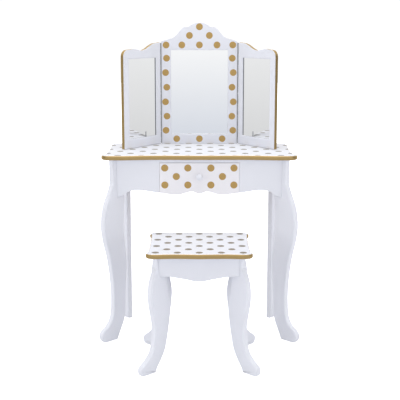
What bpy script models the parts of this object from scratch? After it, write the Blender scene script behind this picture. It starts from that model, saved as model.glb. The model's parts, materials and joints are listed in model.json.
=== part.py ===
"""Child's dressing table: a tri-fold mirror, a drawer and a matching stool.

Units are metres. +Z is up and +Y runs from the sitter to the wall. The origin is on
the floor, at the centre of the box around the table and the stool together.

The table and the stool are built alike: four flat leg boards stand diagonally in the
corners, four apron boards are mitred against their side faces, and a bent steel plate
ties each corner. Profiles are given as shares of the board that carries them, so that
they stretch with it. Every moving group hangs from an empty on its joint's axis.
"""
import math

import bmesh
import bpy
from mathutils import Matrix, Vector

# ------------------------------------------------------------------ driving dimensions
GAP = 0.0003            # between two pieces that touch
DIAGONAL = math.sqrt(0.5)

# Tops
BOARD = 0.015           # thickness of the two tops
TOP_ROUND = 0.005       # rounding of a top's rim
TABLE_WIDTH = 0.600
TABLE_DEPTH = 0.295
TABLE_HEIGHT = 0.593
SEAT_WIDTH = 0.301
SEAT_DEPTH = 0.272
SEAT_HEIGHT = 0.358
STOOL_PULLED_OUT = 0.013    # clear floor between the seat's and the table's edges

# Legs
LEG_BOARD = 0.020       # thickness of every leg board
LEG_ROUND = 0.003       # rounding of its long edges
BACK_LEG_WIDTH = 0.054
TABLE_LEG_INSET = (0.0276, 0.0208)  # outer edge's middle, inside the top's edges
STOOL_LEG_INSET = (0.0246, 0.0365)

# Aprons
APRON_BOARD = 0.015
TABLE_APRON_SETBACK = 0.0106    # behind the leg's ridge
STOOL_APRON_SETBACK = 0.0040
PLATE = 0.0025          # steel of the corner plates
PLATE_FLANGE = 0.026
PLATE_HEIGHT = 0.036
PLATE_DROP = 0.008      # below the top's underside

# Drawer
DRAWER_WIDTH = 0.2452
DRAWER_RAIL = 0.011     # strip of apron left above the drawer
DRAWER_CLEARANCE = 0.001
DRAWER_TRAVEL = 0.150
DRAWER_HELD = 0.040     # of its box still on the runners when it is out
DRAWER_BOX_HEIGHT = 0.066
DRAWER_WALL = 0.009
DRAWER_FLOOR = 0.004
DRAWER_SINK = 0.023     # top of the box below the table's underside
RUNNER_SIDE = 0.012
RUNNER_LEDGE = 0.0105
RUNNER_THICKNESS = 0.006
SLIDE_CLEARANCE = 0.001
RUNNER_INSET = 0.0156   # drawer box's side inside the front's end
KNOB_RADIUS = 0.010
KNOB_LENGTH = 0.017
KNOB_DROP = 0.053       # centre below the table's underside
SCREW_RADIUS = 0.0020
SCREW_CLEARANCE = 0.0002

# Mirror
PANEL_WIDTH = 0.2490
PANEL_SHOULDER = 0.337  # height of its side edges
PANEL_SETBACK = 0.016   # front face to the table's back edge
FRAME_LIP = 0.006       # face wood in front of the glass
GLASS = 0.003
BACKING = 0.0024
REBATE = 0.006          # glass held behind the window's edge
WINDOW = (0.187, 0.032, 0.308)      # width, sill and head above the tabletop
WING_WIDTH = 0.185
WING_LIFT = 0.0015      # above the tabletop
WING_SHOULDER = 0.333
WING_CORNER = 0.022
WING_WINDOW = (0.0245, 0.161, 0.031, 0.284)  # from and to the pin, sill and head
WING_FOLD = math.radians(54)

# Hinges
HINGE_LENGTH = 0.1645
HINGE_HEIGHTS = (0.0845, 0.2495)      # middles above the tabletop
KNUCKLES = 9            # along each hinge, the odd ones on the fixed leaf
HINGE_EDGE = 0.0015     # pin to the edge of each board
HINGE_PROUD = 0.0010    # pin in front of the faces
KNUCKLE_RADIUS = 0.0015
KNUCKLE_CLEARANCE = 0.00015
PIN_RADIUS = 0.0007
PIN_BORE = 0.0008
LEAF = 0.0007
LEAF_WIDTH = 0.0095

# ------------------------------------------------------------------ shapes as shares
# Apron: (share of half its length, depth below the top's underside)
FRONT_SCALLOP = ((0, .108), (.09, .1005), (.256, .11), (.48, .1045), (.73, .096),
                 (.855, .1), (.93, .1135), (1, .119))
PLAIN_SCALLOP = ((0, .096), (.70, .098), (.90, .108), (1, .116))
STOOL_SCALLOP = ((0, .074), (.375, .0665), (.75, .0597), (1, .059))

# Leg edges: (outwards from the top's outer edge, share of the curved length's height)
TABLE_LEG_STRAIGHT = 0.078
TABLE_LEG_OUTER = ((0, 1), (.01, .95), (.03, .86), (.038, .752), (.0325, .656),
                   (.0165, .53), (.0065, .398), (.0035, .27), (.009, .156), (.027, .1),
                   (.041, .083), (.0515, .06), (.053, .034), (.047, .01), (.038, 0))
TABLE_LEG_INNER = ((-.01, 0), (-.024, .056), (-.038, .115), (-.0435, .18), (-.044, .254),
                   (-.049, .398), (-.0525, .496), (-.0475, .592), (-.0425, .72),
                   (-.044, .82), (-.0465, .905))
STOOL_LEG_STRAIGHT = 0.034
STOOL_LEG_OUTER = ((0, 1), (.0099, .942), (.0187, .867), (.0228, .77), (.0215, .67),
                   (.0135, .537), (.009, .45), (.0097, .343), (.0182, .215), (.038, .138),
                   (.059, .088), (.063, .05), (.06, .014), (.053, 0))
STOOL_LEG_INNER = ((.007, 0), (-.001, .05), (-.0153, .113), (-.0293, .194), (-.039, .307),
                   (-.0494, .485), (-.0534, .6), (-.051, .68), (-.0445, .76), (-.041, .86),
                   (-.044, .93))

# Crest: (share of half the panel's width, height above its shoulder)
CREST = ((0, .0592), (.10, .0580), (.20, .0532), (.285, .0464), (.34, .0452), (.395, .0455),
         (.483, .0375), (.57, .0240), (.665, .0130), (.80, .0070), (1, 0))
# Wing top: (share of its width, height below its hinged corner)
WING_TOP = ((0, 0), (.05, .001), (.18, .0033), (.28, .0095), (.377, .0178), (.451, .0222),
            (.52, .0238), (.60, .0212), (.714, .0180), (.86, .0200))


# ------------------------------------------------------------------ helpers
def material(name, colour, roughness, metallic=0.0):
    """A plain Principled material."""
    result = bpy.data.materials.new(name)
    result.use_nodes = True
    shader = result.node_tree.nodes["Principled BSDF"]
    shader.inputs["Base Color"].default_value = (*colour, 1)
    shader.inputs["Roughness"].default_value = roughness
    shader.inputs["Metallic"].default_value = metallic
    result.diffuse_color = (*colour, 1)
    return result


def curve_height(points, level_start=True):
    """A smooth height over distance, a cubic through the points with averaged slopes."""
    slopes = []
    for index in range(len(points)):
        before = points[max(index - 1, 0)]
        after = points[min(index + 1, len(points) - 1)]
        slopes.append((after[1] - before[1]) / (after[0] - before[0]))
    if level_start:
        slopes[0] = 0

    def height(x):
        span = max(i for i in range(len(points) - 1) if i == 0 or points[i][0] <= x)
        (x0, y0), (x1, y1) = points[span], points[span + 1]
        step = x1 - x0
        t = (x - x0) / step
        rise = y0 * (2 * t**3 - 3 * t**2 + 1) + y1 * (3 * t**2 - 2 * t**3)
        return rise + step * (slopes[span] * (t**3 - 2 * t**2 + t)
                              + slopes[span + 1] * (t**3 - t**2))

    return height


def smooth(points, steps):
    """A Catmull-Rom curve through a list of plane points."""
    padded = [points[0], *points, points[-1]]
    result = []
    for a, b, c, d in zip(padded, padded[1:], padded[2:], padded[3:]):
        for step in range(steps):
            t = step / steps
            result.append(tuple(
                0.5 * (2 * q + (r - p) * t + (2 * p - 5 * q + 4 * r - s) * t**2
                       + (3 * q - p - 3 * r + s) * t**3)
                for p, q, r, s in zip(a, b, c, d)))
    return result + [points[-1]]


def finish(name, mesh, parent, matrix, finish_material):
    """Link a mesh as a named object under its body's empty."""
    mesh.materials.append(finish_material)
    result = bpy.data.objects.new(name, mesh)
    bpy.context.scene.collection.objects.link(result)
    result.parent = parent
    result.matrix_local = matrix
    return result


def prism(name, near, far, parent, matrix, finish_material, rounding=0.0, segments=1):
    """A closed board between two rings of points, with its sharp edges rounded."""
    shape = bmesh.new()
    rings = [[shape.verts.new(point) for point in ring] for ring in (near, far)]
    shape.faces.new(rings[0])
    shape.faces.new(rings[1][::-1])
    count = len(near)
    for index in range(count):
        other = (index + 1) % count
        shape.faces.new((rings[0][index], rings[1][index], rings[1][other], rings[0][other]))
    bmesh.ops.recalc_face_normals(shape, faces=shape.faces)
    mesh = bpy.data.meshes.new(name)
    shape.to_mesh(mesh)
    shape.free()
    result = finish(name, mesh, parent, matrix, finish_material)
    if rounding:
        bevel = result.modifiers.new("rounded", "BEVEL")
        bevel.width = rounding
        bevel.segments = segments
        bevel.limit_method = "ANGLE"
        bevel.angle_limit = math.radians(60)
        mesh.shade_smooth()
        mesh.set_sharp_from_angle(angle=math.radians(40))
    return result


def board(name, outline, low, high, parent, matrix, finish_material, rounding=0.0, segments=1):
    """An outline in the local XY plane, thickened from low to high along local Z."""
    near = [(x, y, low) for x, y in outline]
    far = [(x, y, high) for x, y in outline]
    return prism(name, near, far, parent, matrix, finish_material, rounding, segments)


def rectangle(x0, x1, y0, y1):
    return [(x0, y0), (x1, y0), (x1, y1), (x0, y1)]


def block(name, x_range, y_range, z_range, parent, finish_material):
    """A plain rectangular piece, centred on its own origin."""
    middle = Vector([(pair[0] + pair[1]) / 2 for pair in (x_range, y_range, z_range)])
    outline = rectangle(x_range[0] - middle.x, x_range[1] - middle.x,
                        y_range[0] - middle.y, y_range[1] - middle.y)
    half = (z_range[1] - z_range[0]) / 2
    return board(name, outline, -half, half, parent, Matrix.Translation(middle), finish_material)


def turned(name, profile, parent, matrix, finish_material, sides=16):
    """A solid turned about local Z from (radius, height) points, axis to axis."""
    shape = bmesh.new()
    rings = []
    for radius, height in profile:
        if radius == 0:
            rings.append([shape.verts.new((0, 0, height))])
            continue
        angles = [2 * math.pi * side / sides for side in range(sides)]
        rings.append([shape.verts.new((radius * math.cos(a), radius * math.sin(a), height))
                      for a in angles])
    for ring, after in zip(rings, rings[1:]):
        for side in range(sides):
            other = (side + 1) % sides
            corners = [ring[side % len(ring)], ring[other % len(ring)],
                       after[other % len(after)], after[side % len(after)]]
            shape.faces.new(list(dict.fromkeys(corners)))
    bmesh.ops.recalc_face_normals(shape, faces=shape.faces)
    mesh = bpy.data.meshes.new(name)
    shape.to_mesh(mesh)
    shape.free()
    mesh.shade_smooth()
    mesh.set_sharp_from_angle(angle=math.radians(40))
    return finish(name, mesh, parent, matrix, finish_material)


def join_by(piece, tool, operation):
    """Cut a piece with a hidden tool, or weld the tool to it."""
    tool.hide_render = True
    tool.display_type = "WIRE"
    modifier = piece.modifiers.new(tool.name, "BOOLEAN")
    modifier.operation = operation
    modifier.solver = "EXACT"
    modifier.object = tool


def facing_front(x, y, z):
    """Local X stays X, local Y points up and local Z points at the sitter."""
    return Matrix(((1, 0, 0, x), (0, 0, -1, y), (0, 1, 0, z), (0, 0, 0, 1)))


def empty(name, location, turn=0.0):
    result = bpy.data.objects.new(name, None)
    bpy.context.scene.collection.objects.link(result)
    result.location = location
    result.rotation_euler = (0, 0, turn)
    return result


# ------------------------------------------------------------------ layout
def leg_edge(width, depth, inset):
    """Half spacings of the legs' outer edges, along X and Y."""
    return width / 2 - inset[0], depth / 2 - inset[1]


def toe_reach(outer):
    """How far the foot's corner passes the leg's outer edge, along X or Y."""
    return (max(u for u, _ in outer) + LEG_BOARD / 2 - LEG_ROUND) * DIAGONAL


STOOL_EDGE = leg_edge(SEAT_WIDTH, SEAT_DEPTH, STOOL_LEG_INSET)
TABLE_EDGE = leg_edge(TABLE_WIDTH, TABLE_DEPTH, TABLE_LEG_INSET)
STOOL_FRONT = max(SEAT_DEPTH / 2, STOOL_EDGE[1] + toe_reach(STOOL_LEG_OUTER))
SET_LENGTH = STOOL_FRONT + SEAT_DEPTH / 2 + STOOL_PULLED_OUT + TABLE_DEPTH
TABLE_BACK = SET_LENGTH / 2
TABLE_Y = TABLE_BACK - TABLE_DEPTH / 2
STOOL_Y = STOOL_FRONT - SET_LENGTH / 2
TABLE_UNDER = TABLE_HEIGHT - BOARD
SEAT_UNDER = SEAT_HEIGHT - BOARD
PANEL_FACE = TABLE_BACK - PANEL_SETBACK
FRAME_BOARD = FRAME_LIP + GLASS + BACKING + 2 * GAP
PIN_X = PANEL_WIDTH / 2 + HINGE_EDGE
PIN_Y = PANEL_FACE - HINGE_PROUD


# ------------------------------------------------------------------ legged frames
def top_outline(width, depth, front, waist, corner, back):
    """A serpentine top, symmetric about its middle, its front edge at -Y.

    front and back hold how far the edge lies inside the box at its middle, at its
    quarter and at the shoulder before the corner; waist is the sides' hollow.
    """
    half, edge = width / 2, depth / 2
    front_half = [(0, front[0] - edge), (half * .47, front[1] - edge),
                  (half * .79, front[2] - edge), (half - corner * .55, corner * .16 - edge),
                  (half, corner - edge), (half - waist * .75, corner * 2 - edge)]
    side = [(half - waist, 0)]
    back_half = [(half - waist * .75, edge - corner * 2), (half - back[3], edge - corner),
                 (half - back[3] - corner * .40, edge - corner * .30),
                 (half * .79, edge - back[2]), (half * .47, edge - back[1]), (0, edge - back[0])]
    right = [(min(x, half), max(-edge, min(edge, y)))
             for x, y in smooth(front_half + side + back_half, 3)]
    return right + [(-x, y) for x, y in right[-2:0:-1]]


def leg_outline(outer, inner, under, straight):
    """The leg's edges, from its outer top corner down, under the foot and back up."""
    curved = under - straight
    down = smooth([(u, share * curved) for u, share in outer], 2)
    up = smooth([(u, share * curved) for u, share in inner], 2)
    return [(0, under)] + down + up + [(inner[-1][0], under)]


def corner_matrix(across, back, edge, y):
    """Local X outwards along the corner's diagonal and local Y up."""
    out = Vector((across, back, 0)).normalized()
    side = out.cross(Vector((0, 0, 1)))
    place = Vector((across * edge[0], y + back * edge[1], 0))
    return Matrix.Translation(place) @ Matrix((out, (0, 0, 1), side)).transposed().to_4x4()


def plate_outline(edge, inner_width, setback):
    """A bent corner plate in plan, measured outwards from the frame's middle."""
    shift = LEG_BOARD / 2 * DIAGONAL + setback
    x_inner = edge[0] + LEG_BOARD / 2 * DIAGONAL - setback - APRON_BOARD - GAP
    y_inner = edge[1] + LEG_BOARD / 2 * DIAGONAL - setback - APRON_BOARD - GAP
    reach = max(inner_width, (shift + APRON_BOARD) / DIAGONAL)
    outer_sum = edge[0] + edge[1] - (reach + GAP) / DIAGONAL
    inner_sum = outer_sum - PLATE / DIAGONAL
    x_end = outer_sum - y_inner - PLATE_FLANGE
    y_end = outer_sum - x_inner - PLATE_FLANGE
    return [(x_end, y_inner), (outer_sum - y_inner, y_inner), (x_inner, outer_sum - x_inner),
            (x_inner, y_end), (x_inner - PLATE, y_end),
            (x_inner - PLATE, inner_sum - x_inner + PLATE),
            (inner_sum - y_inner + PLATE, y_inner - PLATE), (x_end, y_inner - PLATE)]


def apron_half_length(edge_along, setback):
    """From the middle to where the apron's outer face meets the leg."""
    return edge_along - LEG_BOARD / 2 * DIAGONAL - setback - GAP / DIAGONAL


def apron(name, along, outwards, y, edge, setback, under, scallop, parent, paint, notch=None):
    """A scalloped board, mitred at both ends; along is 0 for X and 1 for Y."""
    half = apron_half_length(edge[along], setback)
    limit = half - APRON_BOARD
    depth_at = curve_height(scallop)
    shares = [0, .18, .375, .55, .70, .82]
    if scallop is FRONT_SCALLOP:
        shares = [0, .09, .17, .256, .36, .48, .60, .73, .80, .855, .90]
    shares = [share for share in shares if share * half < limit] + [1]
    lower = [(share * half, -depth_at(share)) for share in shares]
    if notch:
        side, rail = notch
        lower = [(side, -rail), (side, -depth_at(side / half))]
        lower += [(share * half, -depth_at(share)) for share in shares if share * half > side]
    right = lower + [(half, -GAP)]
    left = [(-x, z) for x, z in right[::-1]]
    outline = left + (right if notch else right[1:])
    face = edge[1 - along] + LEG_BOARD / 2 * DIAGONAL - setback
    near = [(x, z, 0) for x, z in outline]
    far = [(max(-limit, min(limit, x)), z, -APRON_BOARD) for x, z in outline]
    turn = (0 if outwards < 0 else math.pi) if along == 0 else outwards * math.pi / 2
    place = Matrix.Translation((0, y, under)) @ Matrix.Rotation(turn, 4, "Z")
    return prism(name, near, far, parent, place @ facing_front(0, -face, 0), paint)


def legged_frame(prefix, y, edge, under, setback, legs, scallops, parent, paint, steel, notch=None):
    """Legs, aprons and corner plates under a top."""
    names = {(-1, -1): "front_left", (1, -1): "front_right",
             (-1, 1): "back_left", (1, 1): "back_right"}
    for (across, back), corner in names.items():
        outline, inner = legs[back]
        half = LEG_BOARD / 2
        board(f"{prefix}_leg_{corner}", [(u, z - GAP if z == under else z) for u, z in outline],
              -half, half, parent, corner_matrix(across, back, edge, y), paint, LEG_ROUND)
        plan = [(across * px, back * py) for px, py in plate_outline(edge, inner, setback)]
        top = under - PLATE_DROP
        board(f"{prefix}_corner_plate_{corner}", plan, top - PLATE_HEIGHT, top, parent,
              Matrix.Translation((0, y, 0)), steel)
    aprons = {"front": (0, -1), "back": (0, 1), "left": (1, -1), "right": (1, 1)}
    for side, (along, outwards) in aprons.items():
        apron(f"{prefix}_apron_{side}", along, outwards, y, edge, setback, under,
              scallops[side], parent, paint, notch if side == "front" else None)


# ------------------------------------------------------------------ sub-parts
def build_table(body, paint, steel):
    outline = top_outline(TABLE_WIDTH, TABLE_DEPTH, (.0085, .0100, 0), .0125, .019,
                          (0, 0, 0, .010))
    top = board("table_top", outline, TABLE_UNDER, TABLE_HEIGHT, body,
                Matrix.Translation((0, TABLE_Y, 0)), paint, TOP_ROUND, 2)
    front = leg_outline(TABLE_LEG_OUTER, TABLE_LEG_INNER, TABLE_UNDER, TABLE_LEG_STRAIGHT)
    back = [(0, TABLE_UNDER), (0, 0), (-BACK_LEG_WIDTH, 0), (-BACK_LEG_WIDTH, TABLE_UNDER)]
    legs = {-1: (front, -TABLE_LEG_INNER[-1][0]), 1: (back, BACK_LEG_WIDTH)}
    scallops = {"front": FRONT_SCALLOP, "back": PLAIN_SCALLOP,
                "left": PLAIN_SCALLOP, "right": PLAIN_SCALLOP}
    notch = (DRAWER_WIDTH / 2 + DRAWER_CLEARANCE, DRAWER_RAIL - DRAWER_CLEARANCE)
    legged_frame("table", TABLE_Y, TABLE_EDGE, TABLE_UNDER, TABLE_APRON_SETBACK, legs,
                 scallops, body, paint, steel, notch)
    return top


def build_stool(body, paint, steel):
    outline = top_outline(SEAT_WIDTH, SEAT_DEPTH, (0, .0035, 0), .0065, .016,
                          (0, .0035, 0, 0))
    board("stool_seat", outline, SEAT_UNDER, SEAT_HEIGHT, body, Matrix.Identity(4), paint,
          TOP_ROUND, 2)
    outline = leg_outline(STOOL_LEG_OUTER, STOOL_LEG_INNER, SEAT_UNDER, STOOL_LEG_STRAIGHT)
    legs = {side: (outline, -STOOL_LEG_INNER[-1][0]) for side in (-1, 1)}
    scallops = {side: STOOL_SCALLOP for side in ("front", "back", "left", "right")}
    legged_frame("stool", 0, STOOL_EDGE, SEAT_UNDER, STOOL_APRON_SETBACK, legs, scallops,
                 body, paint, steel)


def build_runners(body, wood, apron_face):
    """L-shaped battens under the tabletop, their ledges under the drawer's sides."""
    wall = DRAWER_WIDTH / 2 - RUNNER_INSET + SLIDE_CLEARANCE
    low = TABLE_UNDER - DRAWER_SINK - DRAWER_BOX_HEIGHT - SLIDE_CLEARANCE
    start = apron_face + APRON_BOARD + GAP
    back_face = TABLE_Y + TABLE_EDGE[1] + LEG_BOARD / 2 * DIAGONAL - TABLE_APRON_SETBACK
    length = back_face - APRON_BOARD - GAP - start
    section = [(-RUNNER_LEDGE, -RUNNER_THICKNESS), (RUNNER_SIDE, -RUNNER_THICKNESS),
               (RUNNER_SIDE, TABLE_UNDER - GAP - low), (0, TABLE_UNDER - GAP - low), (0, 0),
               (-RUNNER_LEDGE, 0)]
    for side, name in ((-1, "drawer_runner_left"), (1, "drawer_runner_right")):
        outline = [(side * x, z) for x, z in section]
        board(name, outline, -length, 0, body, facing_front(side * wall, start, low), wood)


def build_drawer(body, paint, wood, steel, apron_face):
    """A box with a scalloped front that fills the apron's notch; its empty is at the front."""
    half = apron_half_length(TABLE_EDGE[0], TABLE_APRON_SETBACK)
    depth_at = curve_height(FRONT_SCALLOP)
    width = DRAWER_WIDTH / 2
    xs = [0, .09 * half, .17 * half, .256 * half, .36 * half, width]
    right = [(x, -depth_at(x / half)) for x in xs] + [(width, -DRAWER_RAIL)]
    outline = [(-x, z) for x, z in right[:0:-1]] + right
    front = board("drawer_front", outline, -APRON_BOARD, 0, body,
                  facing_front(0, 0, TABLE_UNDER), paint)
    knob_z = TABLE_UNDER - KNOB_DROP
    bore = SCREW_RADIUS + SCREW_CLEARANCE
    drill = turned("drawer_screw_drill", [(0, -.01), (bore, -.01), (bore, APRON_BOARD + .01),
                                          (0, APRON_BOARD + .01)],
                   body, facing_front(0, APRON_BOARD, knob_z), steel, 12)
    join_by(front, drill, "DIFFERENCE")
    neck = KNOB_RADIUS * .55
    grip = KNOB_LENGTH * .62
    profile = [(0, .011), (bore, .011), (bore, 0), (neck, 0), (neck * .9, KNOB_LENGTH * .25),
               (KNOB_RADIUS * .92, KNOB_LENGTH * .45), (KNOB_RADIUS, grip),
               (KNOB_RADIUS * .90, KNOB_LENGTH * .82), (KNOB_RADIUS * .55, KNOB_LENGTH * .96),
               (0, KNOB_LENGTH)]
    turned("drawer_knob", profile, body, facing_front(0, -GAP, knob_z), paint, 20)
    head = [(0, -.0025), (.0038, -.0012), (.0038, 0), (SCREW_RADIUS, 0),
            (SCREW_RADIUS, APRON_BOARD + .0095), (0, APRON_BOARD + .0105)]
    turned("drawer_knob_screw", head, body, facing_front(0, APRON_BOARD + GAP, knob_z), steel, 12)

    top = TABLE_UNDER - DRAWER_SINK
    bottom = top - DRAWER_BOX_HEIGHT
    start = APRON_BOARD + GAP
    end = start + DRAWER_TRAVEL + DRAWER_HELD
    outer = DRAWER_WIDTH / 2 - RUNNER_INSET
    inner = outer - DRAWER_WALL
    block("drawer_side_left", (-outer, -inner), (start, end), (bottom, top), body, wood)
    block("drawer_side_right", (inner, outer), (start, end), (bottom, top), body, wood)
    block("drawer_back", (-inner + GAP, inner - GAP), (end - DRAWER_WALL, end), (bottom, top),
          body, wood)
    block("drawer_bottom", (-inner + GAP, inner - GAP), (start, end - DRAWER_WALL - GAP),
          (bottom, bottom + DRAWER_FLOOR), body, wood)


def framed_mirror(prefix, outline, window, parent, matrix, paint, silver, backing):
    """A frame board with a rebated window, the glass in it and a back behind the glass."""
    frame = board(f"{prefix}_frame", outline, -FRAME_BOARD, 0, parent, matrix, paint)
    x0, x1, z0, z1 = window
    beyond = 0.01
    through = board(f"{prefix}_window_cutter", rectangle(x0, x1, z0, z1),
                    -FRAME_BOARD - beyond, beyond, parent, matrix, paint)
    held = rectangle(x0 - REBATE, x1 + REBATE, z0 - REBATE, z1 + REBATE)
    pocket = board(f"{prefix}_rebate_cutter", held, -FRAME_BOARD - beyond, -FRAME_LIP,
                   parent, matrix, paint)
    join_by(frame, through, "DIFFERENCE")
    join_by(frame, pocket, "DIFFERENCE")
    edge = REBATE - GAP
    fitted = rectangle(x0 - edge, x1 + edge, z0 - edge, z1 + edge)
    glass_back = FRAME_LIP + GAP + GLASS
    board(f"{prefix}_glass", fitted, -glass_back, -FRAME_LIP - GAP, parent, matrix, silver)
    board(f"{prefix}_backing", fitted, -glass_back - GAP - BACKING, -glass_back - GAP,
          parent, matrix, backing)
    return frame


def build_panel(body, top, paint, silver, backing, steel):
    """The fixed mirror panel with its crest, and the two screws that hold it from below."""
    rise = curve_height(CREST)
    half = PANEL_WIDTH / 2
    shares = [0, .05, .10, .15, .20, .25, .30, .34, .38, .42, .47, .52, .57, .62, .68, .76,
              .88, 1]
    right = [(half * share, PANEL_SHOULDER + rise(share)) for share in shares]
    left = [(-x, z) for x, z in right[:0:-1]]
    outline = left + right + [(half, GAP), (-half, GAP)]
    width, sill, head = WINDOW
    frame = framed_mirror("mirror", outline, (-width / 2, width / 2, sill, head), body,
                          facing_front(0, PANEL_FACE, TABLE_HEIGHT), paint, silver, backing)
    bore = SCREW_RADIUS + SCREW_CLEARANCE
    screw_y = PANEL_FACE + FRAME_BOARD / 2
    grip = sill * .55
    for side, name in ((-1, "mirror_screw_left"), (1, "mirror_screw_right")):
        place = Matrix.Translation((side * PANEL_WIDTH / 4, screw_y, TABLE_UNDER))
        profile = [(0, -.0025), (.0038, -.0012), (.0038, -GAP), (SCREW_RADIUS, -GAP),
                   (SCREW_RADIUS, BOARD + grip), (0, BOARD + grip + .001)]
        turned(name, profile, body, place, steel, 12)
        drill = turned(f"{name}_drill", [(0, -.01), (bore, -.01), (bore, BOARD + grip + .002),
                                         (0, BOARD + grip + .002)], body, place, steel, 12)
        join_by(top, drill, "DIFFERENCE")
        join_by(frame, drill, "DIFFERENCE")


def wing_outline(side):
    """Around a wing board, measured from the pin along its face and up from the tabletop."""
    drop = curve_height(WING_TOP, level_start=False)
    shares = [0, .05, .12, .18, .24, .30, .36, .42, .48, .54, .62, .72, .80]
    end = HINGE_EDGE + WING_WIDTH
    top = [(HINGE_EDGE + share * WING_WIDTH, WING_SHOULDER - drop(share)) for share in shares]
    join = WING_SHOULDER - drop(1 - WING_CORNER / WING_WIDTH)
    for step in range(6):
        angle = math.pi / 2 * (1 - step / 5)
        top.append((end - WING_CORNER + WING_CORNER * math.cos(angle),
                    join - WING_CORNER + WING_CORNER * math.sin(angle)))
    outline = top + [(end, WING_LIFT), (HINGE_EDGE, WING_LIFT)]
    return [(side * u, z) for u, z in outline]


def build_wing(name, side, body, paint, silver, backing):
    u0, u1, sill, head = WING_WINDOW
    window = (u0, u1, sill, head) if side > 0 else (-u1, -u0, sill, head)
    framed_mirror(name, wing_outline(side), window, body,
                  facing_front(0, HINGE_PROUD, TABLE_HEIGHT), paint, silver, backing)


def hinge_leaf(name, side, middle, own, parent, steel):
    """A leaf on the edge of a board, with its knuckles around the pin.

    side is where the leaf lies from the pin along local X; own holds the stretches of
    the pin, as shares of the hinge's length, that its knuckles take.
    """
    inner = side * (HINGE_EDGE - GAP - LEAF)
    outer = side * (HINGE_EDGE - GAP)
    low = middle - HINGE_LENGTH / 2
    start = KNUCKLE_RADIUS + KNUCKLE_CLEARANCE
    leaf = board(name, rectangle(min(inner, outer), max(inner, outer), start,
                                 start + LEAF_WIDTH),
                 low, low + HINGE_LENGTH, parent, Matrix.Identity(4), steel)
    bore = turned(f"{name}_bore", [(0, low - .002), (PIN_BORE, low - .002),
                                   (PIN_BORE, low + HINGE_LENGTH + .002),
                                   (0, low + HINGE_LENGTH + .002)], parent,
                  Matrix.Identity(4), steel, 16)
    for index, (begin, end) in enumerate(own):
        z0 = low + begin * HINGE_LENGTH + (GAP if begin > 0 else 0)
        z1 = low + end * HINGE_LENGTH - (GAP if end < 1 else 0)
        knuckle = turned(f"{name}_knuckle_{index}", [(0, z0), (KNUCKLE_RADIUS, z0),
                                                     (KNUCKLE_RADIUS, z1), (0, z1)],
                         parent, Matrix.Identity(4), steel, 16)
        tongue = board(f"{name}_tongue_{index}",
                       rectangle(min(inner, outer), max(inner, outer), PIN_BORE * 1.15,
                                 start + LEAF_WIDTH * .5),
                       z0, z1, parent, Matrix.Identity(4), steel)
        join_by(leaf, tongue, "UNION")
        join_by(leaf, knuckle, "UNION")
    join_by(leaf, bore, "DIFFERENCE")


def build_hinges(name, side, body, wing, steel):
    """Two long strip hinges, one over the other, whose knuckles fill the seam."""
    shares = [(index / KNUCKLES, (index + 1) / KNUCKLES) for index in range(KNUCKLES)]
    place = empty(f"{name}_pin_line", (side * PIN_X, PIN_Y, 0))
    place.parent = body
    for level, height in zip(("lower", "upper"), HINGE_HEIGHTS):
        middle = TABLE_HEIGHT + height
        hinge_leaf(f"{name}_{level}_hinge_leaf_fixed", -side, middle, shares[::2], place,
                   steel)
        hinge_leaf(f"{name}_{level}_hinge_leaf_moving", side, middle, shares[1::2], wing,
                   steel)
        half = HINGE_LENGTH / 2
        turned(f"{name}_{level}_hinge_pin", [(0, -half), (PIN_RADIUS, -half),
                                             (PIN_RADIUS, half), (0, half)], place,
               Matrix.Translation((0, 0, middle)), steel, 16)


def main():
    for leftover in list(bpy.data.objects):
        bpy.data.objects.remove(leftover)
    paint = material("white_lacquer", (.80, .82, .86), .38)
    wood = material("bare_birch", (.62, .48, .31), .60)
    steel = material("zinc_plated_steel", (.60, .60, .62), .35, 1)
    silver = material("mirror_glass", (.90, .92, .93), .03, 1)
    backing = material("hardboard", (.33, .22, .13), .75)

    apron_face = TABLE_Y - TABLE_EDGE[1] - LEG_BOARD / 2 * DIAGONAL + TABLE_APRON_SETBACK
    table = empty("table", (0, 0, 0))
    drawer = empty("drawer", (0, apron_face, 0))
    stool = empty("stool", (0, STOOL_Y, 0))
    left_wing = empty("left_wing", (-PIN_X, PIN_Y, 0), WING_FOLD)
    right_wing = empty("right_wing", (PIN_X, PIN_Y, 0), -WING_FOLD)

    top = build_table(table, paint, steel)
    build_runners(table, wood, apron_face)
    build_panel(table, top, paint, silver, backing, steel)
    build_drawer(drawer, paint, wood, steel, apron_face)
    build_wing("left_wing", -1, left_wing, paint, silver, backing)
    build_wing("right_wing", 1, right_wing, paint, silver, backing)
    build_hinges("left", -1, table, left_wing, steel)
    build_hinges("right", 1, table, right_wing, steel)
    build_stool(stool, paint, steel)


main()
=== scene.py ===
"""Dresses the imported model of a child's dressing table with its detailed surfaces.

The set is a table with a drawer and a tri-fold mirror, and a matching stool. Every
length is in metres in the model's own frame: +Z is up, -Y faces the sitter. Each visible
board is a grid of points: its outline runs along the columns, and the rows carry it
round the board's edge. The CAD's mirrors, hinges and drawer box stay and get finishes.
"""
import json
import math

import bpy
import numpy as np
from bpy.props import FloatProperty, FloatVectorProperty, IntProperty, PointerProperty
from bpy.types import Operator, Panel, PropertyGroup
from mathutils import Matrix, Vector


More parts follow.
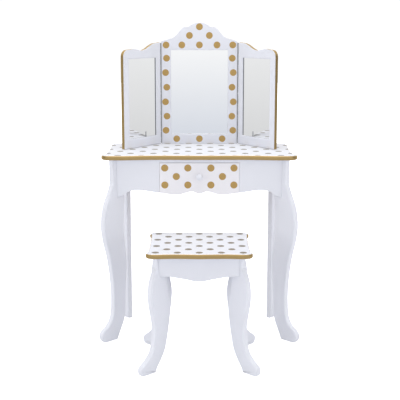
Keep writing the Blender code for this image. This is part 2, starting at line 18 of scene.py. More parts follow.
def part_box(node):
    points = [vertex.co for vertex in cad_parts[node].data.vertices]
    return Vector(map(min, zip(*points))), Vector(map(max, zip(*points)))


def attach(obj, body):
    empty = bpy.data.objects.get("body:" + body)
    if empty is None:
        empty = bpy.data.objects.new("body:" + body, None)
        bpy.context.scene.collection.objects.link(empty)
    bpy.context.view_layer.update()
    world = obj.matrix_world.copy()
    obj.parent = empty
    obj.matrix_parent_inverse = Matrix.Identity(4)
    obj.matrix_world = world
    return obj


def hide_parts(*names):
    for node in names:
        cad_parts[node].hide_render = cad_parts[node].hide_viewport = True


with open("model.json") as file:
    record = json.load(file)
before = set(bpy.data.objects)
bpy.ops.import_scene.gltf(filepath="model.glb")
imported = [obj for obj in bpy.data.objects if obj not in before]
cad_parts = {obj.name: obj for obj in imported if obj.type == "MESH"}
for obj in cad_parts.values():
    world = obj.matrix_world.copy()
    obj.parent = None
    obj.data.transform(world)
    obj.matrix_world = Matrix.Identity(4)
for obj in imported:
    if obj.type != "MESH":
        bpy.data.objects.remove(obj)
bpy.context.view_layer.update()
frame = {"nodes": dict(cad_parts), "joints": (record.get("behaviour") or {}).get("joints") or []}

bl_info = {
    "name": "Child's Dressing Table",
    "version": (1, 0, 0),
    "blender": (4, 5, 0),
    "location": "View3D > Sidebar > Dressing Table",
    "description": "Builds the finished boards, dots, mirrors and studio of a dressing table",
    "category": "Object",
}

GAP = .0003             # between two pieces that touch
DIAGONAL = math.sqrt(.5)
CRISP = math.radians(38)  # faces that meet more steeply keep a sharp edge
CORNERS = ((-1, -1, "front_left"), (-1, 1, "back_left"), (1, -1, "front_right"),
           (1, 1, "back_right"))  # across, to the back, name
PLATE = .0025           # the corner plates' steel
BOLT_HEIGHTS = (.28, .72)  # of the bolts, as shares of a corner plate's height
PRINTED = .65           # the dots stop this share of the rim's rounding inside the edge
DOTS_ASIDE = 6          # dots tried on each side of a row's middle

# ---------- profiles, in metres and shares
# Tops: how far the edge lies inside the box at its middle, quarter and shoulder, and at
# the back also before the corner
TABLE_FRONT = (.0085, .0100, 0)
TABLE_BACK = (0, 0, 0, .010)
SEAT_FRONT = (0, .0035, 0)
SEAT_BACK = (0, .0035, 0, 0)
QUARTER, SHOULDER = .47, .79  # their places, as shares of half the top's width
# Shares of a corner's reach: (inside the end, behind the front)
FRONT_CORNER = ((1, 0), (.35, .24), (.083, .6), (0, 1))
BACK_CORNER = (.40, .30)
WAIST_START = .75       # share of the sides' hollow that is reached at twice the corner

# Apron: (share of half its length, depth below the top's underside)
SCALLOP_POINTS = 49     # across half an apron; the drawer's front has its own
DRAWER_POINTS = 41
FRONT_SCALLOP = (
    (0, .108), (.09, .1005), (.256, .11), (.48, .1045), (.73, .096), (.855, .1), (.93, .1135),
    (1, .119))
PLAIN_SCALLOP = ((0, .096), (.70, .098), (.90, .108), (1, .116))
STOOL_SCALLOP = ((0, .074), (.375, .0665), (.75, .0597), (1, .059))

# Leg edges: (outwards from the top's outer edge, share of the curved length's height)
TABLE_LEG_OUTER = (
    (0, 1), (.01, .95), (.03, .86), (.038, .752), (.0325, .656), (.0165, .53), (.0065, .398),
    (.0035, .27), (.009, .156), (.027, .1), (.041, .083), (.0515, .06), (.053, .034),
    (.047, .01), (.038, 0))
TABLE_LEG_INNER = (
    (-.01, 0), (-.024, .056), (-.038, .115), (-.0435, .18), (-.044, .254), (-.049, .398),
    (-.0525, .496), (-.0475, .592), (-.0425, .72), (-.044, .82), (-.0465, .905))
STOOL_LEG_OUTER = (
    (0, 1), (.0099, .942), (.0187, .867), (.0228, .77), (.0215, .67), (.0135, .537),
    (.009, .45), (.0097, .343), (.0182, .215), (.038, .138), (.059, .088), (.063, .05),
    (.06, .014), (.053, 0))
STOOL_LEG_INNER = (
    (.007, 0), (-.001, .05), (-.0153, .113), (-.0293, .194), (-.039, .307), (-.0494, .485),
    (-.0534, .6), (-.051, .68), (-.0445, .76), (-.041, .86), (-.044, .93))

# Crest: (share of half the panel's width, height above its shoulder)
CREST = (
    (0, .0592), (.10, .0580), (.20, .0532), (.285, .0464), (.34, .0452), (.395, .0455),
    (.483, .0375), (.57, .0240), (.665, .0130), (.80, .0070), (1, 0))
# Wing top: (share of its width, height below its hinged corner), up to where it is cut off
WING_WAVE = .80
WING_TOP = (
    (0, 0), (.05, .001), (.18, .0033), (.28, .0095), (.377, .0178), (.451, .0222), (.52, .0238),
    (.60, .0212), (.714, .0180), (.86, .0200))

# Knob: (share of its radius, share of its length)
KNOB = (
    (.58, 0), (.50, .08), (.47, .24), (.62, .36), (.88, .44), (1, .58), (.97, .74), (.84, .88),
    (.58, .97), (.30, 1), (.05, 1.005))

# Dots, in metres: across the mirror panel from its middle and up from the tabletop
PANEL_DOTS = (
    (0, .3830), (.0325, .3550), (.1090, .3245), (.0575, .3245), (0, .3245), (.1077, .2817),
    (.1112, .2350), (.1075, .1870), (.1120, .1390), (.1075, .0915), (.1110, .0445),
    (.0756, .0164), (0, .0164))
# Dots on the drawer, across from its middle and up from the floor
DRAWER_DOTS = (
    (.0355, .5515), (.1065, .5515), (.0710, .5250), (.0355, .4985), (.1065, .4985))


# Studio, in metres. Lamps: (size, place, the point it is aimed at)
LAMPS = {"key": (1.4, (-2.6, -1.0, .9), (0, 0, .5)),
         "fill": (1.4, (2.6, -1.0, .9), (0, 0, .5)),
         "overhead": (2.2, (-.2, .1, 3.2), (0, 0, .4))}
CAMERA_X = .002
FLOOR = (-9, 9, -6, 12)             # left, right, front and back
ROOM = (5, -4.2, 3)                 # half width, place and height of the far room's card
ROOM_WHITE = .8                     # height from which that card is white
FLAG_X = 1.6                        # of the dark cards, to each side
FLAG_EDGES = (-1.25, .10, .3, 1.7)  # front, back, foot and top
BACKDROP = 1.05                     # white that the camera sees behind the set
GLOSS_SLOPES = (-.14, -.03)         # between these downward slopes what is reflected
GLOSS_WHITES = (.70, .88)           # brightens from the first white to the second


# ---------- what a user changes
def linear(colour):
    """An sRGB hex colour as linear light: ((c + 0.055) / 1.055) ** 2.4, or c / 12.92 low down."""
    c = np.array([int(colour[i:i + 2], 16) for i in (1, 3, 5)]) / 255
    return np.where(c <= 0.04045, c / 12.92, ((c + 0.055) / 1.055) ** 2.4).tolist()


def length(name, description, default):
    return FloatProperty(name=name, description=description, default=default, unit="LENGTH")


def power(name, description, default):
    return FloatProperty(name=name, description=description, default=default, unit="POWER")


def paint(name, description, colour):
    return FloatVectorProperty(name=name, description=description, default=linear(colour),
                               size=3, min=0, max=1, subtype="COLOR")


class DressingTableSizes(PropertyGroup):
    """Lengths of the boards that the profiles don't hold."""
    rim: length("Rim rounding", "Rounding of the two tops' gilt rims", .0055)
    table_corner: length("Table corner", "Reach of the tabletop's rounded corners", .024)
    table_waist: length("Table waist", "Hollow of the tabletop's sides", .0125)
    seat_corner: length("Seat corner", "Reach of the seat's rounded corners", .019)
    seat_waist: length("Seat waist", "Hollow of the seat's sides", .0065)
    leg_board: length("Leg board", "Thickness of every leg board", .020)
    leg_rounding: length("Leg rounding", "Rounding of the leg boards' long edges", .0045)
    back_leg: length("Back leg", "Width of the table's back legs", .054)
    table_leg_x: length("Table leg inset across", "Outer edge inside the top's end", .0276)
    table_leg_y: length("Table leg inset along", "Outer edge inside the top's front", .0208)
    stool_leg_x: length("Stool leg inset across", "Outer edge inside the seat's end", .0246)
    stool_leg_y: length("Stool leg inset along", "Outer edge inside the seat's front", .0365)
    table_straight: length("Table leg's straight part", "Below the tabletop", .078)
    stool_straight: length("Stool leg's straight part", "Below the seat", .034)
    apron: length("Apron board", "Thickness of the aprons and the drawer's front", .015)
    table_setback: length("Table apron setback", "Apron behind the legs' ridge", .0106)
    stool_setback: length("Stool apron setback", "Apron behind the legs' ridge", .0040)
    edge: length("Arris", "Rounding of the aprons' and frames' sharp edges", .0009)
    drawer_width: length("Drawer width", "Width of the drawer's front", .2452)
    drawer_rail: length("Drawer rail", "Apron left above the drawer", .011)
    clearance: length("Drawer clearance", "Gap above the drawer's front", .001)
    side_clearance: length("Drawer side clearance", "Gap beside the drawer's front", .0004)
    knob_radius: length("Knob radius", "Radius of the drawer's knob", .010)
    knob_length: length("Knob length", "How far the knob stands out", .017)
    shoulder: length("Panel shoulder", "Height of the panel's side edges", .337)
    window_width: length("Window width", "Mirror seen in the middle panel", .187)
    window_sill: length("Window sill", "Height above the tabletop", .032)
    window_head: length("Window head", "Height above the tabletop", .308)
    wing_shoulder: length("Wing shoulder", "Height of a wing's hinged corner", .333)
    wing_lift: length("Wing lift", "A wing's foot above the tabletop", .0015)
    wing_corner: length("Wing corner", "Rounding of a wing's outer top corner", .022)
    wing_near: length("Wing window, near", "From the pin to the mirror", .0245)
    wing_far: length("Wing window, far", "From the pin to the mirror's far edge", .161)
    wing_sill: length("Wing window sill", "Height above the tabletop", .031)
    wing_head: length("Wing window head", "Height above the tabletop", .284)
    rebate: length("Rebate", "Glass held behind a window's edge", .006)
    arris: length("Window arris", "Rounding of the windows' front edges", .0022)
    lip: length("Frame lip", "Wood in front of the glass", .006)
    dot: length("Dot radius", "Gilt dots on the panel and the drawer", .0110)
    top_dot: length("Top dot radius", "Gilt dots on the tabletop and the seat", .0102)
    dot_height: length("Dot thickness", "Screen-printed paint above the lacquer", .00012)
    table_pitch: length("Table dot pitch", "Between dots in a row of the tabletop", .071)
    table_row: length("Table dot rows", "Between rows on the tabletop", .0455)
    table_first: length("Table's first row", "From the tabletop's front to its dots", .0060)
    seat_pitch: length("Seat dot pitch", "Between dots in a row of the seat", .0617)
    seat_row: length("Seat dot rows", "Between rows on the seat", .0382)
    seat_first: length("Seat's first row", "From the seat's front to its dots", .0205)
    bolt_radius: length("Bolt radius", "Across the corner bolts' heads, from the axis", .0055)
    steps: IntProperty(name="Curve steps", description="Points on each span of an outline",
                       default=9, min=2, max=32)


class DressingTableColours(PropertyGroup):
    """Colours of the set's finishes."""
    lacquer: paint("Lacquer", "White of the boards", "#E2E4EC")
    drawer: paint("Drawer lacquer", "White of the drawer's front", "#EBEAEF")
    gilt: paint("Gilt paint", "Gold of the rims", "#BCA06C")
    dots: paint("Dot paint", "Gold of the dots", "#B89759")
    # painted reflection: the grey that the top dots take at a low angle
    top_dots: paint("Top dots, slanting", "Their grey when seen at a low angle", "#807B72")
    # painted shade: a dark grey on the windows' walls, for the shade in their rebates
    routed: paint("Routed edge", "Primer on the windows' walls", "#6A6E75")
    birch: paint("Birch", "Bare wood of the drawer's box", "#DCC39B")
    hardboard: paint("Hardboard", "Backs of the mirrors", "#8A6239")
    zinc: paint("Zinc", "Plates, bolts and screws", "#B9BBBE")
    hinge: paint("Hinge steel", "Steel of the strip hinges", "#A0A3A8")
    silver: paint("Silvered glass", "Tint of the mirrors", "#F8F9FA")
    floor: paint("Floor", "What the floor throws back at the set", "#F0F0F3")
    far_room: paint("Room, low", "What the mirrors show at their foot", "#D9DDE6")
    left_flag: paint("Left flag", "Card that gold paint reflects on the left", "#807C74")
    right_flag: paint("Right flag", "Card that gold paint reflects on the right", "#201E1A")


class DressingTableStudio(PropertyGroup):
    """The camera and the lights."""
    camera_y: length("Camera distance", "In front of the set's middle", 2.753)
    camera_z: length("Camera height", "Above the floor", 1.0006)
    tilt: FloatProperty(name="Camera tilt", description="Downwards from level",
                        default=math.radians(11.18), subtype="ANGLE")
    lens: FloatProperty(name="Lens", description="Focal length in millimetres",
                        default=82.4, unit="CAMERA")
    surround: FloatProperty(name="Surround", description="Light from all round", default=.80)
    key: power("Key", "Soft light from the left", 10)
    fill: power("Fill", "Soft light from the right", 9)
    overhead: power("Overhead", "Soft light from above", 40)


# ---------- shapes
def catmull_rom(points, steps):
    """A smooth curve: on each span, the cubic whose slopes follow the neighbours' chords."""
    p = np.asarray(points, float)
    padded = np.vstack((p[:1], p, p[-1:]))
    t = (np.arange(steps) / steps)[None, :, None]
    a, b, c, d = (padded[i:i + len(p) - 1, None] for i in range(4))
    curve = .5 * (2 * b + (c - a) * t + (2 * a - 5 * b + 4 * c - d) * t**2
                  + (3 * b - a - 3 * c + d) * t**3)
    return np.vstack((curve.reshape(-1, 2), p[-1:]))


def height_over(points, x, level_start=True):
    """Heights at x of the cubic Hermite curve through the points, with averaged slopes."""
    knots, heights = np.asarray(points, float).T
    slopes = np.gradient(heights, knots)
    slopes[1:-1] = (heights[2:] - heights[:-2]) / (knots[2:] - knots[:-2])
    if level_start:
        slopes[0] = 0
    span = np.clip(np.searchsorted(knots, x, "right") - 1, 0, len(knots) - 2)
    step = knots[span + 1] - knots[span]
    t = (x - knots[span]) / step
    return (heights[span] * (2 * t**3 - 3 * t**2 + 1) + heights[span + 1] * (3 * t**2 - 2 * t**3)
            + step * (slopes[span] * (t**3 - 2 * t**2 + t) + slopes[span + 1] * (t**3 - t**2)))


def rectangle(x0, x1, y0, y1):
    return np.array(((x0, y0), (x1, y0), (x1, y1), (x0, y1)), float)


def both_sides(right):
    """A half outline from bottom middle to top middle, completed with its mirror image."""
    left = right[::-1] * (-1, 1)
    keep = slice(1 if abs(right[-1, 0]) < 1e-9 else 0, -1 if abs(right[0, 0]) < 1e-9 else None)
    return np.vstack((right, left[keep]))


def inset(outline, distances):
    """Rings inside a counterclockwise outline: each corner slides inwards along its mitre."""
    edge = np.roll(outline, -1, 0) - outline
    out = np.stack((edge[:, 1], -edge[:, 0]), 1) / np.linalg.norm(edge, axis=1, keepdims=True)
    before = np.roll(out, 1, 0)
    mitre = (out + before) / (1 + (out * before).sum(1, keepdims=True))
    return outline[None] - np.asarray(distances)[:, None, None] * mitre[None]


def rim_rows(rounding, thickness, steps):
    """(inset, depth) round a board's edge: a quarter circle, a wall and a quarter circle."""
    angle = np.linspace(0, math.pi / 2, steps)
    front = rounding * (1 - np.stack((np.sin(angle), np.cos(angle)), 1))
    return np.vstack((front, front[::-1] * (1, -1) + (0, thickness)))


def sink(rings, depths):
    """Rings of flat points, each moved to its own depth behind z = 0."""
    z = np.broadcast_to(-np.reshape(depths, (-1, 1, 1)), (*rings.shape[:2], 1))
    return np.concatenate((rings, z), 2)


def rounded_board(outline, thickness, rounding, steps):
    """A board behind its face z = 0: the outline, inset and sunk along the rim's rows."""
    rows = rim_rows(rounding, thickness, steps)
    return sink(inset(outline, rows[:, 0]), rows[:, 1])


def along_rays(outline, centre, angles):
    """Where rays from the centre cross an outline round it: start + s edge = r ray, by Cramer."""
    start = (outline - centre)[None]
    edge = np.roll(start, -1, 1) - start
    ray = np.stack((np.cos(angles), np.sin(angles)), 1)[:, None]
    with np.errstate(all="ignore"):
        turn = ray[..., 0] * edge[..., 1] - ray[..., 1] * edge[..., 0]
        s = -(ray[..., 0] * start[..., 1] - ray[..., 1] * start[..., 0]) / turn
        r = ((start + s[..., None] * edge) * ray).sum(2)
        r = np.where((s > -1e-7) & (s < 1 + 1e-7) & (r > 0), r, np.inf).min(1)
    return centre + r[:, None] * ray[:, 0]


def framed_board(outline, window, thickness, lip, rebate, rounding, arris_by, steps):
    """A board with a rebated window, as one closed loop of rings.

    Rays from the window's middle give every ring the same columns. The rings run up the
    window's front arris, over the face, round the rim and over the back, then through
    the pocket that holds the glass.
    """
    x0, x1, y0, y1 = window
    centre = np.array(((x0 + x1) / 2, (y0 + y1) / 2))
    openings = [rectangle(x0 - grow, x1 + grow, y0 - grow, y1 + grow)
                for grow in (0, arris_by, rebate)]
    corners = np.vstack((outline, *openings)) - centre
    angles = np.unique(np.round(np.arctan2(corners[:, 1], corners[:, 0]), 4))
    rows = rim_rows(rounding, thickness, steps)
    rim = inset(along_rays(outline, centre, angles), rows[:, 0])
    wall, face, pocket = (along_rays(opening, centre, angles) for opening in openings)
    turn = np.linspace(0, math.pi / 2, steps)
    grow = (1 - np.cos(turn))[:, None, None]
    arris = wall + (face - wall) * grow
    rings = np.concatenate((arris, rim, (pocket, pocket, wall)))
    depths = np.concatenate((arris_by * (1 - np.sin(turn)), rows[:, 1], (thickness, lip, lip)))
    return sink(rings, depths)


def turned(profile, sides):
    """A turned solid about local Z: the (radius, height) profile, from its far end to its near."""
    turn = 2 * math.pi * np.arange(sides) / sides
    radius, height = np.asarray(profile, float).T
    return np.stack((radius[:, None] * np.cos(turn), radius[:, None] * np.sin(turn),
                     np.broadcast_to(height[:, None], (len(height), sides))), 2)


def disc(radius, thickness, sides=48, steps=3):
    """A printed dot lying on z = 0, its edge rounded over a quarter circle."""
    turn = np.linspace(math.pi / 2, 0, steps)
    edge = np.stack((radius - thickness * (1 - np.cos(turn)), thickness * np.sin(turn)), 1)
    return turned(np.vstack((edge, (radius, -thickness))), sides)


def clipped_disc(centre, radius, thickness, border, outwards, sides=48):
    """A dot that stops at a border, or None where it misses it.

    Rays leave a point q inside both. The circle round c is met at the distance
    sqrt((p.d)^2 + r^2 - p.p) - p.d along the ray d, with p = q - c.
    """
    nearest = np.linalg.norm(border - centre, axis=1).argmin()
    outside = (centre - border[nearest]) @ outwards[nearest]
    if outside > .85 * radius:
        return None
    q = centre
    if outside > -radius / 4:
        q = border[nearest] - outwards[nearest] * (radius - outside) / 2
    angles = 2 * math.pi * np.arange(sides) / sides
    ray = np.stack((np.cos(angles), np.sin(angles)), 1)
    p = q - centre
    to_circle = np.sqrt((ray @ p)**2 + radius**2 - p @ p) - ray @ p
    to_border = np.linalg.norm(along_rays(border, q, angles) - q, axis=1)
    reach = np.minimum(to_circle, to_border)
    rows = ((thickness, thickness), (.3 * thickness, .7 * thickness), (0, 0), (0, -thickness))
    return np.stack([np.column_stack((q + ray * (reach - narrow)[:, None],
                                      np.full(sides, height))) for narrow, height in rows])


def facing_front(x, y, z):
    """Local X stays X, local Y points up and local Z points at the sitter."""
    return Matrix(((1, 0, 0, x), (0, 0, -1, y), (0, 1, 0, z), (0, 0, 0, 1)))


def corner_matrix(across, back, edge, y):
    """Local X outwards along the corner's diagonal and local Y up."""
    out = Vector((across, back, 0)).normalized()
    side = out.cross(Vector((0, 0, 1)))
    place = Vector((across * edge[0], y + back * edge[1], 0))
    return Matrix.Translation(place) @ Matrix((out, (0, 0, 1), side)).transposed().to_4x4()


def carry(points, matrix):
    """Points moved by a 4 x 4 matrix."""
    m = np.array(matrix)
    return points @ m[:3, :3].T + m[:3, 3]


def put_in_scene(name, data):
    """An object for a mesh, a light or a camera."""
    made = bpy.data.objects.new(name, data)
    bpy.context.scene.collection.objects.link(made)
    return made


def skin(name, grid, finishes, bands=0, closed=False):
    """A mesh of one or several grids whose columns run round; ends are capped, or joined.

    bands says which of the finishes each band of faces between two rings has.
    """
    grid = grid.reshape(-1, *grid.shape[-3:])
    index = np.arange(grid[..., 0].size).reshape(grid.shape[:3])
    upper = index if closed else index[:, :-1]
    lower = np.roll(index, -1, 1) if closed else index[:, 1:]
    quads = np.stack((upper, lower, np.roll(lower, -1, 2), np.roll(upper, -1, 2)), 3)
    marks = np.broadcast_to(np.reshape(bands, (1, -1, 1)), quads.shape[:3]).ravel().tolist()
    faces = quads.reshape(-1, 4).tolist()
    if not closed:
        faces += index[:, 0].tolist() + index[:, -1, ::-1].tolist()
        marks += [0] * 2 * len(grid)
    mesh = bpy.data.meshes.new(name)
    mesh.from_pydata(grid.reshape(-1, 3), [], faces)
    mesh.polygons.foreach_set("material_index", marks)
    for finish in finishes:
        mesh.materials.append(look_for(finish))
    mesh.shade_smooth()
    mesh.set_sharp_from_angle(angle=CRISP)
    return put_in_scene(name, mesh)


def join_frame(piece, body, slot, *replaced):
    """Even out the shading of flat faces and hand the piece to its CAD body."""
    piece.modifiers.new("even shading", "WEIGHTED_NORMAL").keep_sharp = True
    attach(piece, body)
    if replaced:
        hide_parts(*replaced)
    return piece


# ---------- finishes
def feed(node, **feeds):
    """Give sockets a value, an output or a node's first output; _ stands for a space."""
    for name, value in feeds.items():
        socket = node.inputs[name.replace("_", " ")]
        if isinstance(value, bpy.types.Node):
            value = value.outputs[0]
        if isinstance(value, bpy.types.NodeSocket):
            node.id_data.links.new(value, socket)
        else:
            socket.default_value = value


def add_node(tree, kind, **feeds):
    """Add a node with its settings and links."""
    made = tree.nodes.new(kind)
    feed(made, **feeds)
    return made


def start_look(name, **feeds):
    """A material, its Principled shader and the Object coordinates that patterns read."""
    look = bpy.data.materials.new(name)
    look.use_nodes = True
    tree = look.node_tree
    shader = tree.nodes["Principled BSDF"]
    feed(shader, **feeds)
    return look, tree, shader, add_node(tree, "ShaderNodeTexCoord").outputs["Object"]


def vary(shader, pattern, colour, tones, roughness=None):
    """Let a pattern, from 0 to 1, swing a colour between two shares of its brightness.

    Where two values of roughness are given, it swings between them too.
    """
    tree = shader.id_data
    dark, light = [(*[min(1, channel * share) for channel in colour], 1) for share in tones]
    tone = add_node(tree, "ShaderNodeMixRGB", Fac=pattern, Color1=dark, Color2=light)
    feed(shader, Base_Color=tone)
    if roughness:
        feed(shader, Roughness=add_node(tree, "ShaderNodeMapRange", Value=pattern,
                                        To_Min=roughness[0], To_Max=roughness[1]))
    return tone


def sprayed_lacquer(name, colour):
    """Sprayed lacquer on fibreboard: an even satin white with a faint orange peel."""
    look, tree, shader, place = start_look(name, Roughness=.4, IOR=1.5, Coat_Weight=.15,
                                           Coat_Roughness=.2)
    # the spray's drift of tone is 120 mm long and its orange peel 2.2 mm across
    drift = add_node(tree, "ShaderNodeTexNoise", Vector=place, Scale=1 / .120, Detail=3)
    peel = add_node(tree, "ShaderNodeTexNoise", Vector=place, Scale=1 / .0022, Detail=1)
    vary(shader, drift, colour, (.975, 1.02), (.34, .46))
    feed(shader, Normal=add_node(tree, "ShaderNodeBump", Height=peel, Strength=.12,
                                 Distance=.0002))
    return look


def gilt_paint(name, colour, metallic, slanting=None):
    """Bronze-powder gold paint that glints unevenly; slanting is a painted reflection, its grey at
    a low angle.
    """
    look, tree, shader, place = start_look(name, Metallic=metallic, Roughness=.42)
    # brush and roller leave patches 9 mm across; the powder, 0.05 mm, is drawn at 0.5 mm
    patch = add_node(tree, "ShaderNodeTexNoise", Vector=place, Scale=1 / .009, Detail=4)
    powder = add_node(tree, "ShaderNodeTexVoronoi", Vector=place, Scale=1 / .0005)
    tone = vary(shader, patch, colour, (.92, 1.06), (.34, .50))
    feed(shader, Normal=add_node(tree, "ShaderNodeBump", Height=powder, Strength=.15,
                                 Distance=.0001))
    if slanting:
        # painted reflection: from about 63 to 77 degrees off square the colour turns to the
        # slanting grey
        slant = add_node(tree, "ShaderNodeLayerWeight").outputs["Facing"]
        painted_reflection_share = add_node(tree, "ShaderNodeMapRange", Value=slant, From_Min=.55, From_Max=.78)
        feed(shader, Base_Color=add_node(tree, "ShaderNodeMixRGB", Fac=painted_reflection_share, Color1=tone,
                                         Color2=(*slanting, 1)))
    return look


def bare_birch(name, colour, along):
    """Planed birch: pale, silky, with fine brown grain lines along the board."""
    look, tree, shader, place = start_look(name, Roughness=.55)
    # growth rings lie about 3 mm apart and run forty times as long; pores are 0.6 mm wide
    stretched = []
    for width, run in ((.003, .120), (.0006, .012)):
        scale = [1 / width] * 3
        scale[along] = 1 / run
        stretched.append(add_node(tree, "ShaderNodeMapping", Vector=place, Scale=scale))
    rings = add_node(tree, "ShaderNodeTexNoise", Vector=stretched[0], Scale=1, Detail=3,
                     Distortion=.4)
    pores = add_node(tree, "ShaderNodeTexNoise", Vector=stretched[1], Scale=1, Detail=1)
    vary(shader, rings, colour, (.78, 1.08))
    feed(shader, Normal=add_node(tree, "ShaderNodeBump", Height=pores, Strength=.25,
                                 Distance=.0002))
    return look


def pressed_hardboard(name, colour):
    """Hardboard: pressed brown fibre, matt, with darker specks."""
    look, tree, shader, place = start_look(name, Roughness=.8)
    # fibre bundles are about 1.5 mm long
    fibre = add_node(tree, "ShaderNodeTexNoise", Vector=place, Scale=1 / .0015, Detail=5,
                     Roughness=.7)
    vary(shader, fibre, colour, (.62, 1.25))
    feed(shader, Normal=add_node(tree, "ShaderNodeBump", Height=fibre, Strength=.3,
                                 Distance=.0003))
    return look


def zinc_plate(name, colour):
    """Bright zinc plating on steel: a soft grey metal with blurred, cloudy reflections."""
    look, tree, shader, place = start_look(name, Metallic=1, Roughness=.33)
    # the plating's clouds are 4 mm across
    cloud = add_node(tree, "ShaderNodeTexNoise", Vector=place, Scale=1 / .004, Detail=3)
    vary(shader, cloud, colour, (.88, 1.06), (.26, .42))
    return look


def silvered_glass(name, colour):
    """Silvered float glass: a clean, sharp mirror whose silvering varies a little."""
    look, tree, shader, place = start_look(name, Metallic=1, Roughness=0)
    # the silvering's tone drifts over patches 60 mm across
    drift = add_node(tree, "ShaderNodeTexNoise", Vector=place, Scale=1 / .060)
    vary(shader, drift, colour, (.985, 1))
    return look


# Finishes: how each is made, the colour it takes and what else its maker asks for
FINISHES = {
    "lacquer": (sprayed_lacquer, "lacquer"),
    "drawer_lacquer": (sprayed_lacquer, "drawer"),
    # painted shade: the windows' walls take a dark grey
    "routed_edge": (sprayed_lacquer, "routed"),
    "gilt_rim": (gilt_paint, "gilt", .85),
    "gilt_dots": (gilt_paint, "dots", .30),
    # painted reflection: these dots turn grey at a low angle
    "gilt_top_dots": (gilt_paint, "dots", .30, "top_dots"),
    "birch_along": (bare_birch, "birch", 1),
    "birch_across": (bare_birch, "birch", 0),
    "hardboard": (pressed_hardboard, "hardboard"),
    "zinc": (zinc_plate, "zinc"),
    "hinge_steel": (zinc_plate, "hinge"),
    "silvered_glass": (silvered_glass, "silver"),
}


def look_for(finish):
    """The material of a finish, made when it is first asked for."""
    make, *asks = FINISHES[finish]
    colours = bpy.context.scene.dressing_colours
    asks = [getattr(colours, ask) if isinstance(ask, str) else ask for ask in asks]
    return bpy.data.materials.get(finish) or make(finish, *asks)


def refinish(finish, *nodes):
    """Give CAD nodes a finish through their own material slots."""
    for name in nodes:
        for slot in frame["nodes"][name].material_slots:
            slot.material = look_for(finish)


# ---------- outlines
def top_outline(low, high, front, waist, corner, back, steps):
    """A serpentine top inside a CAD box, symmetric about its middle, its front at -Y.

    Catmull-Rom through points that lie inside the box by front and back at the middle, the
    quarter and the shoulder before the corner; waist is the sides' hollow.
    """
    half, edge = (high.x - low.x) / 2, (high.y - low.y) / 2
    hollow = half - waist * WAIST_START
    right = [(0, front[0] - edge), (half * QUARTER, front[1] - edge),
             (half * SHOULDER, front[2] - edge)]
    right += [(half - corner * inside, corner * behind - edge)
              for inside, behind in FRONT_CORNER]
    right += [(hollow, corner * 2 - edge), (half - waist, 0), (hollow, edge - corner * 2),
              (half - back[3], edge - corner),
              (half - back[3] - corner * BACK_CORNER[0], edge - corner * BACK_CORNER[1]),
              (half * SHOULDER, edge - back[2]), (half * QUARTER, edge - back[1]),
              (0, edge - back[0])]
    right = catmull_rom(right, steps)
    right = np.clip(right, (0, -edge), (half, edge))
    return both_sides(right) + ((low.x + high.x) / 2, (low.y + high.y) / 2)


def planned_top(sizes, top):
    """The CAD box and the outline of the tabletop ("table") or the seat ("seat")."""
    node, front, back = {"table": ("table_top", TABLE_FRONT, TABLE_BACK),
                         "seat": ("stool_seat", SEAT_FRONT, SEAT_BACK)}[top]
    low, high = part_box(node)
    waist, corner = getattr(sizes, f"{top}_waist"), getattr(sizes, f"{top}_corner")
    return low, high, top_outline(low, high, front, waist, corner, back, sizes.steps)


def leg_outline(outer, inner, under, straight, steps):
    """A cabriole leg, counterclockwise: down its inner edge, under the foot and up again."""
    scale = (1, under - straight)
    down = catmull_rom(np.multiply(outer, scale), steps)
    up = catmull_rom(np.multiply(inner, scale), steps)
    return np.vstack(((0, under), down, up, (inner[-1][0], under)))[::-1]


def apron_outline(half, scallop, notch=None):
    """An apron seen from outside: a scalloped lower edge, and a notch for the drawer."""
    share = np.linspace(0, 1, SCALLOP_POINTS)
    right = np.stack((share * half, -height_over(scallop, share)), 1)
    if notch:
        side, rail = notch
        beside = right[right[:, 0] > side + 1e-4]
        foot = (side, -height_over(scallop, side / half))
        right = np.vstack(((side, -rail), foot, beside))
    return both_sides(np.vstack((right, (half, -GAP))))


def drawer_outline(half, width, rail):
    """The drawer's front: the apron's scallop below and a straight top under the rail."""
    x = np.linspace(0, width, DRAWER_POINTS)
    right = np.stack((x, -height_over(FRONT_SCALLOP, x / half)), 1)
    return both_sides(np.vstack((right, (width, -rail))))


def panel_outline(half, shoulder, steps):
    """The middle panel: straight sides and a crest of Hermite curves."""
    share = np.linspace(1, 0, 8 * steps + 1)
    right = np.stack((half * share, shoulder + height_over(CREST, share)), 1)
    return both_sides(np.vstack(((half, GAP), right)))


def wing_outline(sizes, near, width):
    """A wing from its pin outwards: a wavy top, a quarter-round corner and a square foot."""
    share = np.linspace(WING_WAVE, 0, 6 * sizes.steps)
    far, round_by = near + width, sizes.wing_corner
    top = np.stack((near + share * width,
                    sizes.wing_shoulder - height_over(WING_TOP, share, False)), 1)
    join = sizes.wing_shoulder - height_over(WING_TOP, 1 - round_by / width, False)
    turn = np.linspace(0, math.pi / 2, 10)
    corner = np.stack((far - round_by * (1 - np.cos(turn)),
                       join - round_by * (1 - np.sin(turn))), 1)
    return np.vstack(((near, sizes.wing_lift), (far, sizes.wing_lift), corner, top))


# ---------- where the CAD puts them
def legged(sizes, prefix):
    """The top's lowest corner, and the middle and half spacings of its legs."""
    low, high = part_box({"table": "table_top", "stool": "stool_seat"}[prefix])
    edge = ((high.x - low.x) / 2 - getattr(sizes, f"{prefix}_leg_x"),
            (high.y - low.y) / 2 - getattr(sizes, f"{prefix}_leg_y"))
    return low, (low.y + high.y) / 2, edge


def apron_half(sizes, edge, along, setback):
    """From the middle to where an apron's face meets the leg."""
    return edge[along] - sizes.leg_board / 2 * DIAGONAL - setback - GAP / DIAGONAL


def pin_matrix(side):
    """The frame of a wing that lies flat, at its pin, turned by the fold it has at rest."""
    name = {-1: "left_wing_hinge", 1: "right_wing_hinge"}[side]
    joint = next(j for j in frame["joints"] if j["name"] == name)
    fold = math.radians(-joint["range_deg"][0]) * joint["axis"][2]
    return Matrix.Translation(joint["pos_m"]) @ Matrix.Rotation(fold, 4, "Z")


